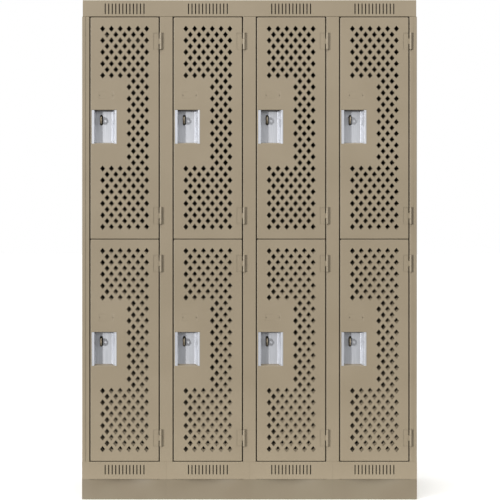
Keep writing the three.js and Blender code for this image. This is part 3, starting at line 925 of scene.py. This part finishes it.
def pocket():
    """The finger pocket: one bright strip. A lip lies flush with the door, a wall goes straight
    back, the back is flat, and a slope comes up to a narrow lip again."""
    left = POCKET_LEFT + FIT
    right = POCKET_LEFT + POCKET_WIDTH - FIT
    deep = POCKET_DEPTH - POCKET_FRONT
    wall_foot = POCKET_LEFT + POCKET_LIP + POCKET_LEAN
    path = [
        (left, 0), (POCKET_LEFT + POCKET_LIP, 0), (wall_foot, deep),
        (POCKET_LEFT + POCKET_FOOT, deep), (POCKET_LEFT + POCKET_TURN, 0), (right, 0),
    ]
    bends, end = folds(0, 1, path, TIGHT)
    at = [bend.at for bend in bends[::-1]]
    low, high = POCKET_BOTTOM + FIT, POCKET_TOP - FIT
    lift = LEDGE_LIFT * POCKET_DEPTH / LEDGE_REACH
    outline = [
        (left, low), (at[0], low), (at[1], low + lift), (at[2], low + lift),
        (at[3], low + 0.2), (end, low), (end, high), (left, high),
    ]
    slot_shift = at[1] + TIGHT * abs(bends[-2].turn) - (wall_foot + TIGHT)
    slot = obround(SLOT_X + slot_shift, SLOT_Z, *SLOT_SIZE)
    return moved(pressed(outline, POCKET_SHEET, bends, [slot]), y=POCKET_FRONT)


def door_hinge_leaf(z):
    """The door's half of a hinge: a leaf let into the face, whose middle curls round the pin."""
    curl = (KNUCKLE - LEAF_SHEET) * CURL
    inner = OPENING - SIDE_GAP / 2 - DOOR_LEAF - HINGE_X
    waist = OPENING - SIDE_GAP / 2 - 0.5 - HINGE_X
    tall, knuckle = HINGE_HALF - FIT / 2, HINGE_THIRD - FIT
    outline = [
        (inner, -tall), (waist, -tall), (waist, -knuckle), (curl, -knuckle),
        (curl, knuckle), (waist, knuckle), (waist, tall), (inner, tall),
    ]
    bend = Bend(0, 1, 0.0, KNUCKLE - LEAF_SHEET, -CURL)
    return moved(pressed(outline, LEAF_SHEET, [bend]), x=HINGE_X, y=LEAF_RECESS, z=z)


def frame_hinge(boundary, z):
    """The frame's half of a hinge: a leaf in the stile's notch, whose ends curl round the pin."""
    curl = -(KNUCKLE - LEAF_SHEET) * CURL
    clear = KNUCKLE + FIT
    outline = [
        (curl, -HINGE_HALF), (FRAME_LEAF, -HINGE_HALF), (FRAME_LEAF, HINGE_HALF), (curl, HINGE_HALF),
        (curl, HINGE_THIRD), (clear, HINGE_THIRD), (clear, -HINGE_THIRD), (curl, -HINGE_THIRD),
    ]
    bend = Bend(0, -1, 0.0, KNUCKLE - LEAF_SHEET, -CURL)
    return moved(
        pressed(outline, LEAF_SHEET, [bend]), x=boundary + AXIS_X, y=FACE + LEAF_RECESS, z=z
    )


def hinge_pin(x, z):
    """A pin with a domed head at each end."""
    radius, height = PIN_HEAD
    half = HINGE_HALF + 0.2
    top = [(PIN_RADIUS, half)]
    for angle in np.linspace(0, QUARTER, 5):
        top.append((radius * math.cos(angle), half + 0.3 + height * math.sin(angle)))
    top[-1] = (0, top[-1][1])
    bottom = [(r, -h) for r, h in top[::-1]]
    return moved(lathed([*bottom, *top]), x=x, y=FACE - KNUCKLE + LEAF_SHEET + LEAF_RECESS, z=z)


def hasp():
    """The padlock hasp: a rounded tongue with an eye, on a plate welded behind the stop lip. Both are
    drawn facing the front, and the tongue is turned edge-on."""
    back = HASP_BACK
    tongue = [
        (HASP_TIP, -3), (HASP_TIP + 6, -13), (back, -14), (back, 14), (HASP_TIP + 6, 13), (HASP_TIP, 3),
    ]
    eye = disc(HASP_EYE, 0, HASP_HOLE, 24)
    blade = turned_left(pressed(rounded(tongue, 2.2, 5), HASP_SHEET, holes=[eye]))
    neck = SLOT_X - 8
    arm = [(2, -14), (11, -14), (neck, -4), (SLOT_X, -4), (SLOT_X, 4), (neck, 4), (11, 14), (2, 14)]
    plate = pressed(rounded(arm, 1.5, 5), HASP_PLATE)
    return [
        moved(blade, x=SLOT_X + HASP_SHEET / 2, z=SLOT_Z - 1),
        moved(plate, y=HASP_BACK - HASP_PLATE, z=SLOT_Z - 1),
    ]


def coat_hook():
    """A single-prong hook on a small plate, drawn on the ceiling: down from the plate, out in a half
    circle, and up to a rounded tip."""
    angle = np.linspace(math.pi, 2 * math.pi, 13)
    bowl = np.column_stack([HOOK_BOWL * (1 + np.cos(angle)), HOOK_BOWL * np.sin(angle) - HOOK_DROP])
    route = [(0, -HOOK_ROD), (0, -HOOK_DROP / 2), *bowl, (2 * HOOK_BOWL, -HOOK_DROP + 10)]
    rod = tube(route, HOOK_ROD)
    foot = lathed([(0, -1.6), (9, -1.6), (10, -0.8), (10, 0), (0, 0)], 24)
    return [rod, foot]


def head(radius, height, way):
    """A shallow round head: a quarter of an ellipse, turned about an axis that points along +Y or -Y."""
    angle = np.linspace(0, QUARTER, 6)[:-1]
    arc = zip(radius * np.cos(angle), height * np.sin(angle))
    upright = lathed([(0, 0), *arc, (0, height)], 16)
    return turned(upright, [(1, 0, 0), (0, 0, -way), (0, way, 0)])


for index in range(len(BOUNDARIES)):
    name = f"stile_{index + 1}"
    add_piece(f"{name}_formed", [stile(index)], FRAME_PAINT, stands_for=[name])
    if index:
        places = [(BOUNDARIES[index], z) for z in hinge_heights()]
        halves = [frame_hinge(x, z) for x, z in places]
        add_piece(f"{name}_hinge_leaves", halves, FRAME_PAINT)
        pins = [hinge_pin(x + AXIS_X, z) for x, z in places]
        add_piece(f"{name}_hinge_pins", pins, FRAME_PAINT)

add_piece("top_rail_formed", [top_rail()], FRAME_PAINT, stands_for=["top_rail"])
TOP_SHEETS = ["top_panel", "top_skirt_left", "top_skirt_right"]
add_piece("top_panel_formed", [top_panel()], PANEL_PAINT, stands_for=TOP_SHEETS)
for side, word in ((-1, "left"), (1, "right")):
    node = f"{word}_side_panel"
    add_piece(f"{node}_formed", [side_panel(side)], PANEL_PAINT, stands_for=[node])
for column in COLUMNS:
    for word, shape, paint, slot in (
        ("bottom_rail", bottom_rail, FRAME_PAINT, "frame_paint"),
        # The toe panels take the darkened coat, which is painted shade.
        ("toe_panel", toe_panel, SHADED_BASE_PAINT, "base_paint"),
        ("tier_shelf", tier_shelf, PANEL_PAINT, "panel_paint"),
    ):
        node = f"{word}_{column}"
        add_piece(f"{node}_formed", [shape(column)], paint, stands_for=[node])

OUTER, POCKET = outer_pan(), pocket()
LEAVES = [door_hinge_leaf(z) for z in HINGE_Z]
for tier in TIERS:
    backing = inner_pan(INNER_PAN_RISE[tier])
    for column in COLUMNS:
        body = f"{tier}_door_{column}"
        corner = box_mm(f"{body}_outer_pan")[0]
        place = {"x": corner[0] - SIDE_GAP / 2, "y": FACE, "z": corner[2] - LEVEL_GAP / 2}
        for word, shell, finish, slot in (
            ("outer_pan", OUTER, DOOR_PAINT, "door_paint"),
            ("inner_pan", backing, DOOR_PAINT, "panel_paint"),
            ("pocket", POCKET, STAINLESS, "pocket_steel"),
        ):
            node = f"{body}_{word}"
            add_piece(f"{node}_formed", [moved(shell, **place)], finish, body, [node])
        leaves = [moved(leaf, **place) for leaf in LEAVES]
        add_piece(f"{body}_hinge_leaves", leaves, DOOR_PAINT, body)

HASP = hasp()
for tier in TIERS:
    floor_z = box_mm(f"{tier}_door_1_outer_pan")[0][2] - LEVEL_GAP / 2
    for column in COLUMNS:
        node = f"{tier}_hasp_{column}"
        left = BOUNDARIES[column - 1] + STILE_HALF
        placed = [moved(shell, left, FACE, floor_z) for shell in HASP]
        add_piece(f"{node}_formed", placed, FRAME_PAINT, stands_for=[node])
        ceiling = (HEIGHT if tier == "upper" else SHELF_Z) - 2 * PANEL_SHEET
        hooks = [
            moved(shell, x=COLUMN_CENTRES[column - 1] + across, z=ceiling)
            for across in (-60, 60)
            for shell in coat_hook()
        ]
        add_piece(f"{tier}_coat_hooks_{column}", hooks, ZINC)
        bumpers = [
            moved(head(*BUMPER, -1), left - SIDE_GAP / 2 + 7, FACE + STOP_DEPTH, floor_z + up)
            for up in (BUMPER_RISE, DOOR_PITCH - BUMPER_RISE)
        ]
        add_piece(f"{tier}_bumpers_{column}", bumpers, RUBBER)

for n, x in enumerate(BOUNDARIES):
    aside = -np.sign(x) * 14 if n in (0, len(BOUNDARIES) - 1) else 8
    bolts = [moved(head(*BOLT, 1), x + aside, BACK, z) for z in BOLT_LEVELS]
    add_piece(f"back_bolts_{n + 1}", bolts, ZINC)

for node in ("back_panel", "bottom_panel", "partition_1", "partition_2", "partition_3"):
    frame["nodes"][node].data.materials.clear()
    frame["nodes"][node].data.materials.append(PANEL_PAINT)


# ---- Floor, light and camera ----


def add_floor():
    mesh = bpy.data.meshes.new("studio_floor")
    reach = 40.0
    corners = [(-reach, -reach, 0), (reach, -reach, 0), (reach, reach, 0), (-reach, reach, 0)]
    mesh.from_pydata(corners, [], [(0, 1, 2, 3)])
    material, tree, output, place = new_material("studio_floor_painted_dark_in_front")
    # The floor is painted dark in front of the doors and fades to pale behind them. The dark part is
    # painted shade: it cuts the light that the floor throws back onto the base and the bottom rails.
    depth = add_node(tree, "ShaderNodeSeparateXYZ", Vector=place).outputs["Y"]
    share = add_node(tree, "ShaderNodeMapRange", {"From Min": -0.9, "From Max": -0.15}, Value=depth)
    tone = two_tones(tree, share.outputs["Result"], "#2a2a29", "#f6f6f4")
    tone.color_ramp.interpolation = "EASE"
    paint = add_node(
        tree, "ShaderNodeBsdfPrincipled", {"Roughness": 0.9}, Base_Color=tone.outputs["Color"]
    )
    tree.links.new(paint.outputs["BSDF"], output.inputs["Surface"])
    mesh.materials.append(material)
    floor = bpy.data.objects.new("studio_floor", mesh)
    bpy.context.scene.collection.objects.link(floor)


def add_sun(name, way, softness, strength):
    """A far light. The way runs from the doors towards it, and the softness is its width in degrees."""
    light = bpy.data.lights.new(name, "SUN")
    light.angle = math.radians(softness)
    light.energy = strength
    lamp = bpy.data.objects.new(name, light)
    lamp.rotation_mode = "QUATERNION"
    lamp.rotation_quaternion = Vector(way).to_track_quat("Z", "Y")
    bpy.context.scene.collection.objects.link(lamp)


def add_area(name, place, target, size, power):
    light = bpy.data.lights.new(name, "AREA")
    light.shape = "DISK"
    light.size = size
    light.energy = power
    lamp = bpy.data.objects.new(name, light)
    lamp.location = place
    lamp.rotation_mode = "QUATERNION"
    lamp.rotation_quaternion = (Vector(target) - Vector(place)).to_track_quat("-Z", "Y")
    bpy.context.scene.collection.objects.link(lamp)


def add_camera():
    """A level camera in front of the doors, a little above the middle, framed by a small shift."""
    distance, frame_size, middle, shift = 5.0, 1.8302, 0.9133, -0.052
    aside = 0.0018
    data = bpy.data.cameras.new("camera")
    data.sensor_width = 36.0
    data.lens = data.sensor_width * distance / frame_size
    data.shift_y = shift
    camera = bpy.data.objects.new("camera", data)
    camera.location = (aside, FACE * MM - distance, middle - shift * frame_size)
    camera.rotation_euler = (QUARTER, 0, 0)
    bpy.context.scene.collection.objects.link(camera)
    bpy.context.scene.camera = camera


def add_world():
    world = bpy.data.worlds.new("studio")
    world.use_nodes = True
    world.node_tree.nodes["Background"].inputs["Color"].default_value = (1.0, 1.0, 1.0, 1.0)
    world.node_tree.nodes["Background"].inputs["Strength"].default_value = 1.0
    bpy.context.scene.world = world


add_floor()
add_world()
add_sun("key_light", (-1.19, -1.0, 0.22), 5.0, 4.2)
add_sun("fill_light", (1.3, -1.0, 0.4), 25.0, 0.8)
add_area("overhead_softbox", (0.0, -1.5, 5.0), (0, -0.5, 0), 4.0, 150)
add_camera()
bpy.context.scene.view_settings.view_transform = "Standard"
